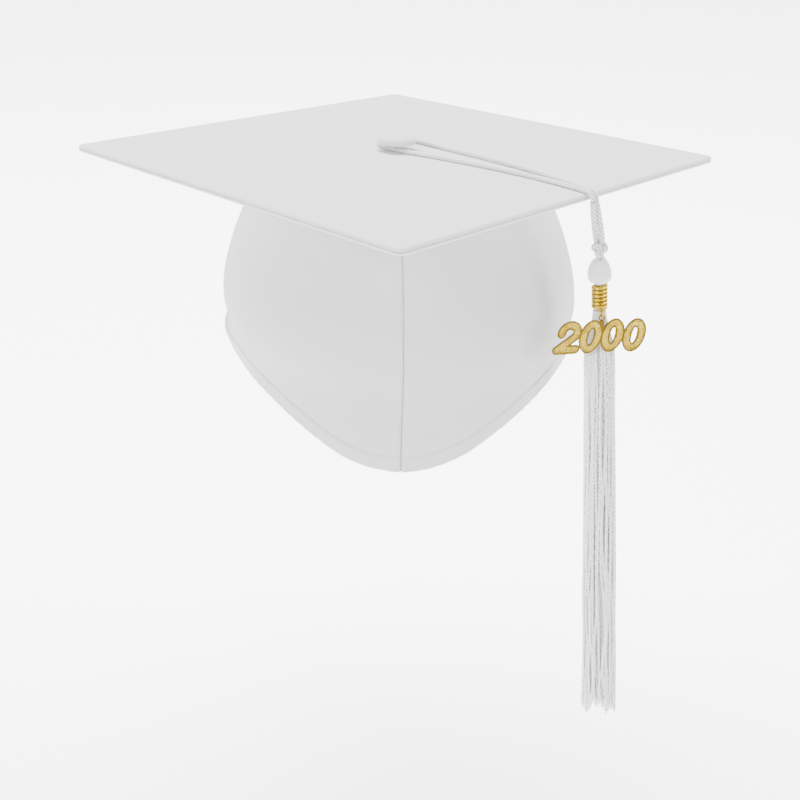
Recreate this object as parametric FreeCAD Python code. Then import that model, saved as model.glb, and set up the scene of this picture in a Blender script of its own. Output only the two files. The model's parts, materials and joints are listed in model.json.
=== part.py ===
import FreeCAD, Part
import math
import os

# A white graduation cap: a stiff square board, a soft crown sewn under it, a covered button, and
# a looped cord that carries a tassel with a gold charm.
# Millimetres, +Z up. The front corner of the board points along -Y. The origin is the centre of
# the head opening, at the height of the hem beside the ears.

Vector = FreeCAD.Vector
up = Vector(0, 0, 1)

# ---- driving dimensions -------------------------------------------------------------------------
board_side = 240.0            # 9.5 inch board
board_top = 100.0             # height of the board's top above the head opening
core_thick = 2.5
cloth = 0.5                   # thickness of the cloth on the board
play = 0.05                   # slack between the board's layers
corner_radius = 3.5

crown_stretch = 1.064         # how much longer the crown is, front to back, than it is wide
panel_thick = 0.8
layer_gap = 0.1
hem_depth = 38.0              # the front point of the hem below the hem beside the ears
hem_tip_radius = 75.0
hem_side_radius = 45.0
hem_slope = math.radians(29)
side_seam_y = 14.0            # where the front panels meet the elastic back
facing_height = 14.0
facing_thick = 0.6
headband_height = 30.0
headband_thick = 1.0
tape_half_width = 6.0
tape_thick = 0.4
backing_gap = 3.0             # the backing stops this far under the board
elastic_low = 3.0
elastic_high = 21.0
elastic_thick = 1.0
casing_low = 0.5
casing_high = 24.0
casing_thick = 0.5
lining_radius = 73.0          # stiff disc between the crown and the board
lining_thick = 0.55

board_edge_round = 1.0        # rounding of the board's edge in section
thread_radius = 0.2           # sewing thread

button_radius = 10.4
button_base = 3.9             # underside of the button above the board
button_edge = 1.8             # height of the button's straight side
button_rise = 3.7             # height of its dome
neck_radius = 2.2
button_metal = 0.4            # sheet that the button's shell is pressed from
button_tuck_radius = 7.5      # where the button's cloth ends under its rim
prong_hole_radius = 1.5
prong_thick = 0.5
prong_half_width = 0.9
prong_gap = 0.2               # half the gap between the two prongs
prong_reach = 7.5             # how far each prong is bent out under the washer
prong_head_radius = 2.6
washer_radius = 9.0
washer_thick = 0.6
board_hole_radius = 2.0

strand_radius = 1.15
strand_lift = 1.5             # centre of a strand above the board
bend_radius = 4.5             # bend of the cord over the board's edge
bend_start = 119.0            # where the bend starts, out from the board's centre
strand_side = (8.1, 10.5)     # where the two strands cross the edge, along it from its middle

tassel_lean = 5.0             # degrees that the cord and tassel hang off the crown's upright
cord_slack = 1.2              # lowers the cord's end, and all that hangs from it
# heights of the hanging pieces, before they are lowered and leant
sway_height = 80.4            # centre of the joint between the cord and the knot
knot_radius = 3.95
knot_middle = 73.95
head_top = 69.7
head_middle = 61.4            # height of the head's widest ring
head_radius = 5.85
head_bottom = 57.2
cavity_middle = 62.5          # hollow in the head that holds the cord's end knot
cavity_radius = 2.5
cord_bore = 1.7
neck_bundle_radius = 1.9
coil_radius = 2.8
coil_wire = 0.72
coil_pitch = 1.95
coil_bottom = 44.15
coil_turns = 6.2
eye_radius = 1.35
eye_wire = 0.4
ring_radius = 2.0
ring_wire = 0.35
ring_reach = 6.25             # jump ring in front of the tassel's axis
ring_middle = 43.6
charm_tilt = 8.0              # the charm leans out on the threads behind it
charm_thick = 1.4
charm_stroke = 4.2
charm_rim = 0.7
charm_sink = 0.3
charm_slant = 0.25
charm_drop = 9.2              # middle of the numerals below the ring's lowest point
numeral_half_height = 6.0     # middle of a stroke, above and below the numerals' middle
zero_half_width = 3.4
loop_radius = 1.3
loop_wire = 0.4
skirt_top = 43.2
skirt_bottom = -197.0

# ---- worked out from them -----------------------------------------------------------------------
board_thick = core_thick + 2 * cloth + 2 * play
board_bottom = board_top - board_thick
board_middle = board_top - board_thick / 2
pocket_side = board_side - 2 * cloth
core_side = pocket_side - 1.0
outward = Vector(1, -1, 0).normalize()      # square to the edge that the tassel hangs over
along = Vector(1, 1, 0).normalize()         # along that edge
tassel_out = bend_start + bend_radius
tassel_side = sum(strand_side) / 2
bend_height = board_top + strand_lift - bend_radius


def at(out, side, height):
    """A point given from the board's centre: out over the edge, along the edge, and its height."""
    return outward * out + along * side + up * height


tassel_axis = at(tassel_out, tassel_side, 0)

# ---- small builders -----------------------------------------------------------------------------


def turned(outline):
    """A closed outline of points and edges in the XZ plane, revolved about Z."""
    return Part.Face(outline).revolve(Vector(), up, 360)


def edges_through(*items):
    """A closed wire in the XZ plane. A pair is a corner; a triple is the middle of an arc."""
    edges = []
    loop = list(items) + [items[0]]
    here = loop[0]
    bulge = None
    for item in loop[1:]:
        if len(item) == 3:
            bulge = item
            continue
        start = Vector(here[0], 0, here[1])
        end = Vector(item[0], 0, item[1])
        if bulge:
            edges.append(Part.Arc(start, Vector(bulge[0], 0, bulge[1]), end).toShape())
        else:
            edges.append(Part.LineSegment(start, end).toShape())
        here = item
        bulge = None
    return Part.Wire(edges)


def square(side, low, high, radius):
    """An upright square block, a corner towards -Y in plan, with rounded upright edges."""
    block = Part.makeBox(side, side, high - low, Vector(-side / 2, -side / 2, low))
    upright = [edge for edge in block.Edges if abs(edge.tangentAt(edge.FirstParameter).z) > 0.9]
    block = block.makeFillet(radius, upright)
    block.rotate(Vector(), up, 45)
    return block


def cylinder(radius, low, high):
    return Part.makeCylinder(radius, high - low, Vector(0, 0, low))


def ring_between(outer, inner, low, high):
    return cylinder(outer, low, high).cut(cylinder(inner, low - 1, high + 1))


def box_between(low, high):
    size = high - low
    return Part.makeBox(size.x, size.y, size.z, low)


def tube(edges, radius):
    """A round tube along joined edges. Prints how its volume compares with section times length."""
    path = Part.Wire(edges)
    first = path.OrderedEdges[0]
    section = Part.makeCircle(radius, edges[0].valueAt(edges[0].FirstParameter),
                              first.tangentAt(first.FirstParameter))
    solid = path.makePipeShell([Part.Wire(section)], True, True)
    expected = math.pi * radius ** 2 * path.Length
    print("tube length %.1f, volume over expected %.4f" % (path.Length, solid.Volume / expected))
    return solid


def flowing(points):
    """Straight runs joined by tangent arcs, each as large as its two runs allow."""
    edges = []
    radii = []
    start = points[0]
    for before, corner, after in zip(points, points[1:], points[2:]):
        back = before - corner
        ahead = after - corner
        reach = 0.45 * min(back.Length, ahead.Length)
        half_turn = (math.pi - back.getAngle(ahead)) / 2
        radius = reach / math.tan(half_turn)
        back.normalize()
        ahead.normalize()
        inside = (back + ahead).normalize()
        middle = corner + inside * (radius / math.cos(half_turn) - radius)
        edges.append(Part.LineSegment(start, corner + back * reach).toShape())
        edges.append(Part.Arc(corner + back * reach, middle, corner + ahead * reach).toShape())
        start = corner + ahead * reach
        radii.append(radius)
    edges.append(Part.LineSegment(start, points[-1]).toShape())
    print("bend radii", " ".join("%.1f" % radius for radius in radii))
    return edges


def save(name, shape):
    """One STEP file for one physical piece, or for a group of like pieces."""
    solids = shape.Solids
    if not shape.isValid() or not solids:
        print("NOT VALID", name)
    if len(solids) == 1:
        shape = solids[0]
    shape.exportStep(os.path.join("parts", name + ".step"))
    print("%-24s solids %d  volume %.1f" % (name, len(solids), shape.Volume))


# ---- board --------------------------------------------------------------------------------------


def make_board():
    hole = cylinder(board_hole_radius, board_bottom - 5, board_top + 5)
    core_low = board_middle - core_thick / 2
    core = square(core_side, core_low, core_low + core_thick, corner_radius - 1)
    save("board_core", core.cut(hole))

    whole = square(board_side, board_bottom, board_top, corner_radius)
    rims = [edge for edge in whole.Edges if abs(edge.tangentAt(edge.FirstParameter).z) < 0.1]
    whole = whole.makeFillet(board_edge_round, rims)
    pocket_low = board_bottom + cloth
    pocket_high = board_top - cloth
    pocket = square(pocket_side, pocket_low, pocket_high, corner_radius - cloth)
    skin = whole.cut(pocket).cut(hole)
    reach = board_side
    upper = box_between(Vector(-reach, -reach, board_middle), Vector(reach, reach, board_top + 5))
    save("board_top_cover", skin.common(upper))
    save("board_bottom_cover", skin.cut(upper))

    edge_middle = (pocket_side + core_side) / 4
    run = core_side - 2 * corner_radius
    threads = []
    for quarter in range(4):
        start = Vector(edge_middle, -run / 2, board_middle)
        thread = Part.makeCylinder(thread_radius, run, start, Vector(0, 1, 0))
        thread.rotate(Vector(), up, 45 + 90 * quarter)
        threads.append(thread)
    save("board_edge_thread", Part.makeCompound(threads))


# ---- button -------------------------------------------------------------------------------------


def dome_outline(radius, low, edge_high, top, thick):
    """Half section of a thin domed cap that is open below."""
    rise = top - edge_high
    sphere = (radius ** 2 + rise ** 2) / (2 * rise)

    def dome(across, drop):
        return top - drop - sphere + math.sqrt(sphere ** 2 - across ** 2)

    middle = radius / 2
    inner = radius - thick
    return edges_through((radius, low), (radius, edge_high), (middle, dome(middle, 0), "arc"),
                         (0, top), (0, top - thick),
                         (middle, dome(middle, thick), "arc"),
                         (inner, edge_high - thick / 2), (inner, low))


def make_button():
    base = board_top + button_base
    edge_high = base + button_edge
    top = edge_high + button_rise
    cover_shell = turned(dome_outline(button_radius, base, edge_high, top, cloth))
    tuck = ring_between(button_radius - cloth, button_tuck_radius, base, base + cloth)
    save("button_cover", cover_shell.fuse(tuck).removeSplitter())

    shell_radius = button_radius - cloth - play
    plate_low = base + cloth + play
    shell = turned(dome_outline(shell_radius, plate_low, edge_high - cloth - 2 * play,
                                top - cloth - 3 * play, button_metal))
    save("button_shell", shell)

    plate_radius = shell_radius - button_metal - 5 * play
    plate_high = plate_low + cloth
    plate = ring_between(plate_radius, prong_hole_radius, plate_low, plate_high)
    neck = ring_between(neck_radius, prong_hole_radius, board_top, plate_high)
    save("button_back", plate.fuse(neck).removeSplitter())

    washer_high = board_bottom - lining_thick - 2 * play
    washer_low = washer_high - washer_thick
    save("button_washer", ring_between(washer_radius, board_hole_radius, washer_low, washer_high))

    head_low = plate_high + play
    prongs = cylinder(prong_head_radius, head_low, head_low + prong_thick)
    foot_high = washer_low - play
    foot_low = foot_high - prong_thick
    leg_far = prong_gap + prong_thick
    for side in (-1, 1):
        inner = Vector(-prong_half_width, prong_gap, foot_low)
        leg = box_between(inner, Vector(prong_half_width, leg_far, head_low + play))
        foot = box_between(inner, Vector(prong_half_width, prong_reach, foot_high))
        bent = leg.fuse(foot)
        if side < 0:
            bent.rotate(Vector(), up, 180)
        prongs = prongs.fuse(bent)
    save("button_prongs", prongs.removeSplitter())


# ---- crown --------------------------------------------------------------------------------------

crown_low = -45.0
# radius across the ears and height, from below the hem up to the board
crown_profile = ((93.0, crown_low), (94.3, 0.0), (96.5, 19.0), (95.5, 36.0), (90.0, 55.5),
                 (82.0, 75.5), (76.5, board_bottom))


def stretched(shape):
    """The round crown made longer from front to back."""
    stretch = FreeCAD.Matrix()
    stretch.scale(Vector(1, crown_stretch, 1))
    return shape.transformGeometry(stretch)


def crown_layer(outer, inner, gap_above=0):
    """A round shell that follows the crown between two depths under its outside."""

    def side(depth):
        points = [Vector(radius - depth, 0, height) for radius, height in crown_profile]
        points[-1].z -= gap_above
        curve = Part.BSplineCurve()
        curve.interpolate(points)
        return curve.toShape(), points

    outside, outer_points = side(outer)
    inside, inner_points = side(inner)
    top = Part.LineSegment(outer_points[-1], inner_points[-1]).toShape()
    bottom = Part.LineSegment(inner_points[0], outer_points[0]).toShape()
    return turned(Part.Wire([outside, top, inside, bottom]))


def above_hem(lift):
    """The space over the front hem raised by lift, in front of the side seams."""
    wide = 150.0
    tip_x = hem_tip_radius * math.sin(hem_slope)
    tip_z = hem_tip_radius * (1 - math.cos(hem_slope)) - hem_depth
    side_z = -hem_side_radius * (1 - math.cos(hem_slope))
    side_x = tip_x + (side_z - tip_z) / math.tan(hem_slope)
    flat_x = side_x + hem_side_radius * math.sin(hem_slope)
    half = hem_slope / 2
    bulge_x = flat_x - hem_side_radius * math.sin(half)
    bulge_z = -hem_side_radius * (1 - math.cos(half))
    outline = edges_through(
        (-wide, 0), (-flat_x, 0), (-bulge_x, bulge_z, "arc"), (-side_x, side_z),
        (-tip_x, tip_z), (0, -hem_depth, "arc"), (tip_x, tip_z),
        (side_x, side_z), (bulge_x, bulge_z, "arc"), (flat_x, 0), (wide, 0),
        (wide, wide), (-wide, wide))
    space = Part.Face(outline).extrude(Vector(0, wide + side_seam_y, 0))
    space.translate(Vector(0, -wide, lift))
    return space


def halves(shape, gap):
    """The left and right parts of a shape, with a gap between them."""
    left = box_between(Vector(-150, -150, -100), Vector(-gap / 2, 150, 150))
    right = box_between(Vector(gap / 2, -150, -100), Vector(150, 150, 150))
    return shape.common(left), shape.common(right)


def behind_seams(low, high):
    """The space behind the side seams between two heights."""
    return box_between(Vector(-150, side_seam_y + 0.2, low), Vector(150, 150, high))


def make_crown():
    depth = panel_thick
    panel = crown_layer(0, depth)
    for name, shape in zip(("left", "right"), halves(panel.common(above_hem(0)), 0.2)):
        save("crown_panel_" + name, stretched(shape))
    save("crown_back_panel", stretched(panel.common(behind_seams(0, board_bottom))))

    facing = crown_layer(depth + layer_gap, depth + layer_gap + facing_thick)
    hem_zone = above_hem(0.3).cut(above_hem(facing_height))
    for name, shape in zip(("left", "right"), halves(facing.common(hem_zone), 0.2)):
        save("hem_facing_" + name, stretched(shape))

    backing = crown_layer(depth + layer_gap, 2 * depth + layer_gap, backing_gap)
    backing_zone = above_hem(facing_height + 0.3)
    for name, shape in zip(("left", "right"), halves(backing.common(backing_zone), 0.4)):
        save("interfacing_" + name, stretched(shape))

    tape_depth = 2 * depth + 2 * layer_gap
    tape = crown_layer(tape_depth, tape_depth + tape_thick, backing_gap)
    strip = box_between(Vector(-tape_half_width, -150, -60),
                        Vector(tape_half_width, 0, board_bottom))
    tape = tape.common(strip)
    save("front_seam_tape", stretched(tape.common(above_hem(facing_height + 1))))

    band_depth = tape_depth + tape_thick + layer_gap
    band = crown_layer(band_depth, band_depth + headband_thick)
    band_zone = above_hem(1).cut(above_hem(1 + headband_height))
    save("front_headband", stretched(band.common(band_zone)))

    elastic_depth = depth + 2 * layer_gap
    elastic = crown_layer(elastic_depth, elastic_depth + elastic_thick)
    elastic_zone = behind_seams(elastic_low, elastic_high)
    save("elastic_band", stretched(elastic.common(elastic_zone)))
    casing_depth = elastic_depth + elastic_thick + layer_gap
    casing = crown_layer(casing_depth, casing_depth + casing_thick)
    save("back_casing", stretched(casing.common(behind_seams(casing_low, casing_high))))

    disc_low = board_bottom - play - lining_thick
    disc = ring_between(lining_radius, board_hole_radius, disc_low, board_bottom - play)
    save("crown_top_disc", stretched(disc))
    # a flat line of stitches, just inside the top of the crown
    thread_out = crown_profile[-1][0] - depth - 2 * thread_radius
    thread_high = board_bottom - play
    thread = ring_between(thread_out, thread_out - 2 * thread_radius,
                          thread_high - 2 * thread_radius, thread_high)
    save("crown_top_thread", stretched(thread))


# ---- cord ---------------------------------------------------------------------------------------


def on_tassel(shape):
    """Moves a piece made upright over the origin to where the tassel hangs."""
    shape.translate(tassel_axis - up * cord_slack)
    shape.rotate(tassel_axis + up * bend_height, Vector(0, -1, 0), tassel_lean)
    return shape



# the strands on the board, out from its centre and along the edge: from the bend, past the front
# of the button's neck, round behind the button, and back to the bend
loop_points = (
    (bend_start - 0.3, 8.1), (97.0, 9.0), (67.0, 6.9), (36.0, 2.6), (11.0, -2.3), (-4.0, -4.0),
    (-15.5, 0.2), (-19.6, 9.6), (-14.2, 18.0), (-2.0, 20.8), (17.0, 19.6), (45.0, 19.2),
    (74.0, 17.4), (99.0, 14.4), (bend_start - 0.3, 10.5))


def make_cord():
    height = board_top + strand_lift
    loop = [at(out, side, height) for out, side in loop_points]
    save("hanger_loop", tube(flowing(loop), strand_radius))

    strands = []
    diagonal = bend_radius * math.sqrt(0.5)
    for side in strand_side:
        start = at(bend_start, side, height)
        middle = at(bend_start + diagonal, side, bend_height + diagonal)
        end = at(tassel_out, side, bend_height)
        strands.append(tube([Part.Arc(start, middle, end).toShape()], strand_radius - 0.02))
    save("hanger_bend", Part.makeCompound(strands))

    cord_radius = 2 * strand_radius - 0.1
    cord = cylinder(cord_radius, sway_height, bend_height + cord_slack - 0.4)
    end = Part.makeSphere(cord_radius, up * sway_height)
    save("hanging_cord", on_tassel(cord.fuse(end).removeSplitter()))


# ---- tassel -------------------------------------------------------------------------------------


def make_tassel():
    knot = Part.makeSphere(knot_radius, Vector(0, 0, knot_middle))
    save("hanger_knot", on_tassel(knot))

    # the head: over its outside from the bore down to the neck, then up through its cavity
    neck_low = skirt_top + 0.4
    shoulder_turn = math.acos(cord_bore / cavity_radius)
    shoulder = cavity_middle + cavity_radius * math.sin(shoulder_turn)
    half_way = (cavity_radius * math.cos(shoulder_turn / 2),
                cavity_middle + cavity_radius * math.sin(shoulder_turn / 2), "arc")
    diagonal = cavity_radius * math.sqrt(0.5)
    head = turned(edges_through(
        (cord_bore, head_top), (cord_bore + 0.9, head_top), (4.75, head_top - 3.2, "arc"),
        (head_radius, head_middle), (5.3, head_middle - 2.8, "arc"), (3.5, head_bottom),
        (neck_bundle_radius, head_bottom), (neck_bundle_radius, neck_low), (0, neck_low),
        (0, cavity_middle - cavity_radius), (diagonal, cavity_middle - diagonal, "arc"),
        (cavity_radius, cavity_middle), half_way, (cord_bore, shoulder)))
    save("tassel_head", on_tassel(head))

    end_knot = Part.makeSphere(cavity_radius - 0.1, Vector(0, 0, cavity_middle))
    end_knot = end_knot.fuse(cylinder(cord_bore - 0.1, cavity_middle, head_top - 0.1))
    save("cord_end_knot", on_tassel(end_knot.removeSplitter()))

    helix = Part.makeHelix(coil_pitch, coil_pitch * coil_turns, coil_radius)
    section = Part.Wire(Part.makeCircle(coil_wire, Vector(coil_radius, 0, 0), Vector(0, 1, 0)))
    coil = Part.Wire(helix).makePipeShell([section], True, True)
    coil.translate(Vector(0, 0, coil_bottom))
    eye_middle = ring_middle + ring_radius + 0.15
    stalk_height = eye_middle + eye_radius
    eye = Part.makeTorus(eye_radius, eye_wire, Vector(0, -ring_reach, eye_middle), Vector(0, 1, 0))
    stalk_start = Vector(0, -coil_radius, stalk_height)
    stalk = Part.makeCylinder(eye_wire, ring_reach - coil_radius, stalk_start, Vector(0, -1, 0))
    save("gold_coil", on_tassel(coil.fuse(eye).fuse(stalk)))

    # the threads fan out under the coil, then hang in an almost even column to the tips
    column_top = skirt_top - 23.7
    column_middle = (column_top + skirt_bottom) / 2
    skirt = turned(edges_through(
        (0, skirt_top), (3.3, skirt_top), (3.6, skirt_top - 2.0, "arc"), (4.2, skirt_top - 4.0),
        (6.2, skirt_top - 12.7, "arc"), (7.5, column_top), (8.8, column_middle, "arc"),
        (10.0, skirt_bottom + 1), (0, skirt_bottom)))
    save("tassel_skirt", on_tassel(skirt))


# ---- ring and charm -----------------------------------------------------------------------------


def bar(start, end, width):
    """A flat stroke with round ends in the XZ plane, charm_thick deep."""
    start = Vector(start[0], 0, start[1])
    end = Vector(end[0], 0, end[1])
    run = end - start
    block = Part.makeBox(run.Length, charm_thick, width, Vector(0, 0, -width / 2))
    block.rotate(Vector(), Vector(0, -1, 0), math.degrees(math.atan2(run.z, run.x)))
    block.translate(start)
    for point in (start, end):
        block = block.fuse(Part.makeCylinder(width / 2, charm_thick, point, Vector(0, 1, 0)))
    return block


def disc_in_plane(across, tall, middle):
    """A flat plate in the XZ plane, round or a tall ellipse."""
    centre = Vector(middle[0], 0, middle[1])
    if across == tall:
        outline = Part.Circle(centre, Vector(0, -1, 0), tall)
    else:
        outline = Part.Ellipse(centre + up * tall, centre + Vector(across, 0, 0), centre)
    return Part.Face(Part.Wire(outline.toShape())).extrude(Vector(0, charm_thick, 0))


def zero(width):
    """The numeral 0, upright, with strokes of this width."""
    half = width / 2
    outer = disc_in_plane(zero_half_width + half, numeral_half_height + half, (0, 0))
    inner = disc_in_plane(zero_half_width - half, numeral_half_height - half, (0, 0))
    return outer.cut(inner)


def two(width):
    """The numeral 2, upright: an open bowl, a diagonal and a foot."""
    half = width / 2
    bowl_radius = 3.7
    bowl_middle = (0.2, numeral_half_height - bowl_radius)
    ring = disc_in_plane(bowl_radius + half, bowl_radius + half, bowl_middle)
    ring = ring.cut(disc_in_plane(bowl_radius - half, bowl_radius - half, bowl_middle))
    turn = math.radians(-38)
    low = (bowl_middle[0] + bowl_radius * math.cos(turn),
           bowl_middle[1] + bowl_radius * math.sin(turn))
    upper = box_between(Vector(-9, -1, bowl_middle[1]), Vector(9, 9, 9))
    lower = box_between(Vector(bowl_middle[0], -1, low[1]), Vector(9, 9, bowl_middle[1]))
    digit = ring.common(upper.fuse(lower))
    tip = (bowl_middle[0] - bowl_radius, bowl_middle[1])
    digit = digit.fuse(bar(tip, (tip[0], tip[1] - 0.3), width))
    foot_left = (-4.4, -numeral_half_height)
    foot_right = (4.6, -numeral_half_height)
    digit = digit.fuse(bar(low, foot_left, width))
    return digit.fuse(bar(foot_left, foot_right, width))


def make_charm():
    ring_place = Vector(0, -ring_reach, ring_middle)
    ring = Part.makeTorus(ring_radius, ring_wire, ring_place, Vector(1, 0, 0))
    save("jump_ring", on_tassel(ring))

    # each numeral, how far across it stands and how much higher than the charm's middle
    places = ((two, -16.4, 0.2), (zero, -5.6, 0.0), (zero, 4.8, 0.1), (zero, 15.2, -0.5))
    plate = None
    fields = None
    for digit, across, lift in places:
        place = Vector(across - charm_slant * lift, 0, lift)
        solid = digit(charm_stroke)
        solid.translate(place)
        field = digit(charm_stroke - 2 * charm_rim)
        field.translate(place + Vector(0, charm_sink - charm_thick, 0))
        plate = solid if plate is None else plate.fuse(solid)
        fields = field if fields is None else fields.fuse(field)
    slant = FreeCAD.Matrix()
    slant.A13 = charm_slant
    plate = plate.cut(fields).transformGeometry(slant)
    stem = bar((0, 7.1), (0, 4.4), 1.8)
    plate = plate.fuse(stem)
    ring_low = ring_middle - ring_radius
    plate.translate(Vector(0, -charm_thick / 2, ring_low - charm_drop))
    loop_place = Vector(0, 0, ring_low - 0.15)
    charm = plate.fuse(Part.makeTorus(loop_radius, loop_wire, loop_place, Vector(0, 1, 0)))
    charm.rotate(Vector(0, 0, ring_low), Vector(1, 0, 0), -charm_tilt)
    charm.translate(Vector(0, -ring_reach, 0))
    save("year_charm", on_tassel(charm))


def main():
    os.makedirs("parts", exist_ok=True)
    make_board()
    make_button()
    make_crown()
    make_cord()
    make_tassel()
    make_charm()


main()
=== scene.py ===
import bpy
import json
import math
import random
from mathutils import Matrix, Vector, noise


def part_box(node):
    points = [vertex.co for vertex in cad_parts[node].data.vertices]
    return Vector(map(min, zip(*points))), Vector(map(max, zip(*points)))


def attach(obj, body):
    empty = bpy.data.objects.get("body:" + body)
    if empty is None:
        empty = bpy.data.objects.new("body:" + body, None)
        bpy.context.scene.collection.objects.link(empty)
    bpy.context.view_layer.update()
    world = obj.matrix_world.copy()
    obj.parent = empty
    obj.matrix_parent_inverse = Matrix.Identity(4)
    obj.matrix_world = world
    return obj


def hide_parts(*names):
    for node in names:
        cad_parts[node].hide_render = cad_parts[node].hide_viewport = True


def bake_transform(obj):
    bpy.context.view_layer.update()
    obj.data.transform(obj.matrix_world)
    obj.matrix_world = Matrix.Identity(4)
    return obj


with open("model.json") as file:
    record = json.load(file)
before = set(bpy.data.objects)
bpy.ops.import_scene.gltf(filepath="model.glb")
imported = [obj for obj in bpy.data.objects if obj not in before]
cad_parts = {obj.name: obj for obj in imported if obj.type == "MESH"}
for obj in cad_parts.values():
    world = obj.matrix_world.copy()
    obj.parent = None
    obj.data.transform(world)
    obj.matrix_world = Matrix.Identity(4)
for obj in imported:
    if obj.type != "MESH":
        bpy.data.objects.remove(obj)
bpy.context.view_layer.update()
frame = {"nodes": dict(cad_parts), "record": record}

MM = 0.001
random.seed(7)

# ---- places on the cap, from the frame ----------------------------------------------------------

board_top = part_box("board_top_cover")[1].z
cover_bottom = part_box("board_bottom_cover")[0].z
board_seam = (board_top + cover_bottom) / 2
button_low, button_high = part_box("button_cover")
outward = Vector((1, -1, 0)).normalized()     # square to the edge that the tassel hangs over
along = Vector((1, 1, 0)).normalized()        # along that edge


def on_board(out, side, height):
    """A point in millimetres from the board's centre: out over the edge, along it, and its height."""
    return (outward * out + along * side) * MM + Vector((0, 0, height * MM))


# ---- shading ------------------------------------------------------------------------------------


class Value:
    """A node's output that takes Python's operators. Each operator adds its Math node."""

    def __init__(self, finish, output):
        self.finish = finish
        self.output = output

    def maths(self, operation, *others):
        return self.finish.node("Math", {"operation": operation}, [self, *others])

    def __add__(self, other):
        return self.maths("ADD", other)

    def __radd__(self, other):
        return self.maths("ADD", other)

    def __sub__(self, other):
        return self.maths("SUBTRACT", other)

    def __rsub__(self, other):
        return self.finish.node("Math", {"operation": "SUBTRACT"}, [other, self])

    def __mul__(self, other):
        return self.maths("MULTIPLY", other)

    def __rmul__(self, other):
        return self.maths("MULTIPLY", other)

    def __pow__(self, other):
        return self.maths("POWER", other)

    def sine(self):
        return self.maths("SINE")

    def clamped(self):
        return self.finish.node("Clamp", {}, {"Value": self})


class Finish:
    """One material: a Principled shader and the nodes that feed it."""

    def __init__(self, name, **sockets):
        self.material = bpy.data.materials.new(name)
        self.material.use_nodes = True
        self.tree = self.material.node_tree
        self.shader = self.tree.nodes["Principled BSDF"]
        for socket, value in sockets.items():
            self.shader.inputs[socket.replace("_", " ")].default_value = value

    def node(self, kind, settings, values, output=0):
        """Any node: its settings first, then its sockets' values or links."""
        made = self.tree.nodes.new("ShaderNode" + kind)
        for key, value in settings.items():
            setattr(made, key, value)
        pairs = enumerate(values) if isinstance(values, list) else values.items()
        for key, value in pairs:
            if isinstance(value, Value):
                self.tree.links.new(value.output, made.inputs[key])
            else:
                made.inputs[key].default_value = value
        return Value(self, made.outputs[output])

    def place(self):
        return self.node("TexCoord", {}, {}, "Object")

    def map(self):
        return self.node("UVMap", {}, {}, "UV")

    def noise(self, vector, scale, detail=2.0, roughness=0.5):
        values = {"Vector": vector, "Scale": scale, "Detail": detail, "Roughness": roughness}
        return self.node("TexNoise", {}, values, 0)

    def parts(self, vector):
        split = self.node("SeparateXYZ", {}, {"Vector": vector})
        outputs = split.output.node.outputs
        return [Value(self, outputs[axis]) for axis in range(3)]

    def mix(self, amount, first, second):
        """A colour between two. The Mix node keeps its colour sockets at places 6, 7 and 2."""
        return self.node("Mix", {"data_type": "RGBA"}, {0: amount, 6: first, 7: second}, 2)

    def feed(self, socket, value):
        self.tree.links.new(value.output, self.shader.inputs[socket])

    def bump(self, height, distance, strength=1.0):
        values = {"Height": height, "Distance": distance, "Strength": strength}
        self.feed("Normal", self.node("Bump", {}, values))


def grey(value, warm=0.0):
    return (value + warm, value, value - warm, 1.0)


def woven(name, shade, thread, depth, warm=0.0):
    """Plain-woven cloth: threads crossing at a fine pitch, with slightly uneven shade."""
    mottle = 0.012
    finish = Finish(name, Sheen_Weight=0.12, Sheen_Roughness=0.5, Specular_IOR_Level=0.25)
    u, v = finish.parts(finish.map())[:2]
    pitch = 2 * math.pi / thread
    warp = (u * pitch).sine()
    weft = (v * pitch).sine()
    weave = warp * weft
    slub = finish.noise(finish.map(), 900.0, 3.0)
    patch = finish.noise(finish.place(), 38.0, 3.0)
    low = grey(shade - mottle, warm)
    high = grey(shade + mottle, warm)
    tone = (patch * 0.55 + slub * 0.35 + weave * 0.1).clamped()
    finish.feed("Base Color", finish.mix(tone, low, high))
    finish.feed("Roughness", 0.82 + (slub - 0.5) * 0.16)
    finish.bump(weave * 0.6 + slub * 0.8, depth)
    return finish.material


def yarn(name, shade, deep=0.6, roughness=0.42):
    """Lustrous rayon. The map's first number is 0 on a ply's crest and 1 in a groove, where the
    colour is painted darker as shade between the plies.
    """
    finish = Finish(name, Sheen_Weight=0.1, Specular_IOR_Level=0.45)
    groove, run = finish.parts(finish.map())[:2]
    across = finish.node("CombineXYZ", {}, [groove * 6.0, run * 14.0, 0.0])
    fibre = finish.noise(across, 1.0, 3.0, 0.6)
    drift = finish.noise(finish.place(), 160.0, 2.0)
    tone = (fibre * 0.6 + drift * 0.4).clamped()
    crest = finish.mix(tone, grey(shade - 0.09), grey(shade + 0.04))
    # painted shade: the colour darkens towards a third of the yarn's tone in the grooves between the
    # plies, by deep
    finish.feed("Base Color", finish.mix(groove ** 3.0 * deep, crest, grey(shade * 0.3)))
    finish.feed("Roughness", roughness + (fibre - 0.5) * 0.3)
    finish.bump(fibre, 0.0001, 0.7)
    return finish.material


def polished_gold(name, colour, roughness):
    """Bright plated metal with faint wipe marks."""
    finish = Finish(name, Metallic=1.0)
    smear = finish.noise(finish.place(), 420.0, 4.0)
    deep = (colour[0] * 0.86, colour[1] * 0.78, colour[2] * 0.62, 1.0)
    finish.feed("Base Color", finish.mix(smear, deep, colour))
    finish.feed("Roughness", roughness + (smear - 0.5) * 0.12)
    finish.bump(smear, 0.00002, 0.5)
    return finish.material


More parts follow.
